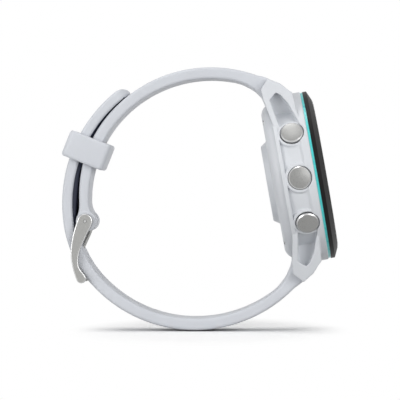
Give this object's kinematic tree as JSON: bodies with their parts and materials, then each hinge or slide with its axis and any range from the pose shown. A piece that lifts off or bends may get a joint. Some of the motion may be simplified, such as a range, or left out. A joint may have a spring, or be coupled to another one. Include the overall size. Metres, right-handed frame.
{
  "type": "gps running watch",
  "caption": "Round GPS running watch with side push buttons, optical sensor back and a silicone strap closed in a loop by buckle and keeper.",
  "frame": {"origin": "centre of the sensor window's flat outer face, where the wrist touches the watch", "axes": "+X out of the dial, +Y towards 3 o'clock, +Z towards 12 o'clock"},
  "size_m": [0.0657, 0.0422, 0.064],
  "materials": {
    "white_polymer": "smooth moulded polymer",
    "accent": "satin colour band",
    "black_resin": "satin black",
    "cover_glass": "polished",
    "dark_glass": "gloss",
    "black_plastic": "moulded",
    "circuit_board": "solder mask",
    "shield_metal": "pressed sheet",
    "antenna_metal": "gold plated",
    "led_resin": "clear resin",
    "gasket_rubber": "moulded",
    "button_metal": "fine brushed with a polished rim",
    "steel": "satin",
    "white_silicone": "soft matt silicone"
  },
  "bodies": {
    "watch": {"accent_ring": "accent", "back_button_switch": "black_plastic", "back_cover": "white_polymer", "battery": "shield_metal", "bezel": "black_resin", "buckle_spring_bar": "steel", "buckle_strap": "white_silicone", "buzzer": "black_plastic", "case_housing": "white_polymer", "charging_contacts": "antenna_metal", "cover_gasket": "gasket_rubber", "cover_screws": "steel", "display_panel": "dark_glass", "down_button_switch": "black_plastic", "gps_antenna": "antenna_metal", "lens": "cover_glass", "lens_gasket": "gasket_rubber", "light_button_switch": "black_plastic", "lower_spring_bar_pin": "steel", "lower_spring_bar_tube": "steel", "main_board": "circuit_board", "mid_frame": "black_plastic", "processor_shield": "shield_metal", "sensor_board": "circuit_board", "sensor_leds": "led_resin", "sensor_photodiodes": "black_plastic", "sensor_window": "dark_glass", "start_button_switch": "black_plastic", "tail_strap": "white_silicone", "up_button_switch": "black_plastic", "upper_spring_bar_pin": "steel", "upper_spring_bar_tube": "steel", "vibration_motor": "shield_metal"},
    "light_button": {"light_button_cap": "button_metal", "light_button_seal": "gasket_rubber", "light_button_clip": "steel"},
    "up_button": {"up_button_cap": "button_metal", "up_button_seal": "gasket_rubber", "up_button_clip": "steel"},
    "down_button": {"down_button_cap": "button_metal", "down_button_seal": "gasket_rubber", "down_button_clip": "steel"},
    "start_button": {"start_button_cap": "button_metal", "start_button_seal": "gasket_rubber", "start_button_clip": "steel"},
    "back_button": {"back_button_cap": "button_metal", "back_button_seal": "gasket_rubber", "back_button_clip": "steel"},
    "upper_release": {"upper_release_pin": "steel"},
    "lower_release": {"lower_release_pin": "steel"},
    "buckle_frame": {"buckle_frame": "steel"},
    "buckle_tongue": {"buckle_tongue": "steel"},
    "keeper": {"keeper": "white_silicone"}
  },
  "joints": [
    {"name": "light_button_press", "type": "slide", "parent": "watch", "child": "light_button", "axis": [0, 0.8434, -0.5373], "range_m": [0, 0.0005], "stiffness_N_per_m": 2000, "springref_m": -0.0005},
    {"name": "up_button_press", "type": "slide", "parent": "watch", "child": "up_button", "axis": [0, 1, 0], "range_m": [0, 0.0005], "stiffness_N_per_m": 2000, "springref_m": -0.0005},
    {"name": "down_button_press", "type": "slide", "parent": "watch", "child": "down_button", "axis": [0, 0.8434, 0.5373], "range_m": [0, 0.0005], "stiffness_N_per_m": 2000, "springref_m": -0.0005},
    {"name": "start_button_press", "type": "slide", "parent": "watch", "child": "start_button", "axis": [0, -0.8434, -0.5373], "range_m": [0, 0.0005], "stiffness_N_per_m": 2000, "springref_m": -0.0005},
    {"name": "back_button_press", "type": "slide", "parent": "watch", "child": "back_button", "axis": [0, -0.8434, 0.5373], "range_m": [0, 0.0005], "stiffness_N_per_m": 2000, "springref_m": -0.0005},
    {"name": "upper_release_slide", "type": "slide", "parent": "watch", "child": "upper_release", "axis": [0, 1, 0], "range_m": [0, 0.0011], "stiffness_N_per_m": 800, "springref_m": -0.0005},
    {"name": "lower_release_slide", "type": "slide", "parent": "watch", "child": "lower_release", "axis": [0, 1, 0], "range_m": [0, 0.0011], "stiffness_N_per_m": 800, "springref_m": -0.0005},
    {"name": "buckle_hinge", "type": "hinge", "parent": "watch", "child": "buckle_frame", "pos_m": [-0.04565, 0, -0.0014], "axis": [0, 1, 0], "range_deg": [0, 4]},
    {"name": "tongue_hinge", "type": "hinge", "parent": "watch", "child": "buckle_tongue", "pos_m": [-0.04565, 0, -0.0014], "axis": [0, 1, 0], "range_deg": [0, 5]},
    {"name": "keeper_slide", "type": "hinge", "parent": "watch", "child": "keeper", "pos_m": [-0.0151, 0, -0.00098], "axis": [0, 1, 0], "range_deg": [-12, 18]}
  ],
  "couplings": [
    {"joint": "tongue_hinge", "follows": "buckle_hinge", "ratio": 1}
  ]
}
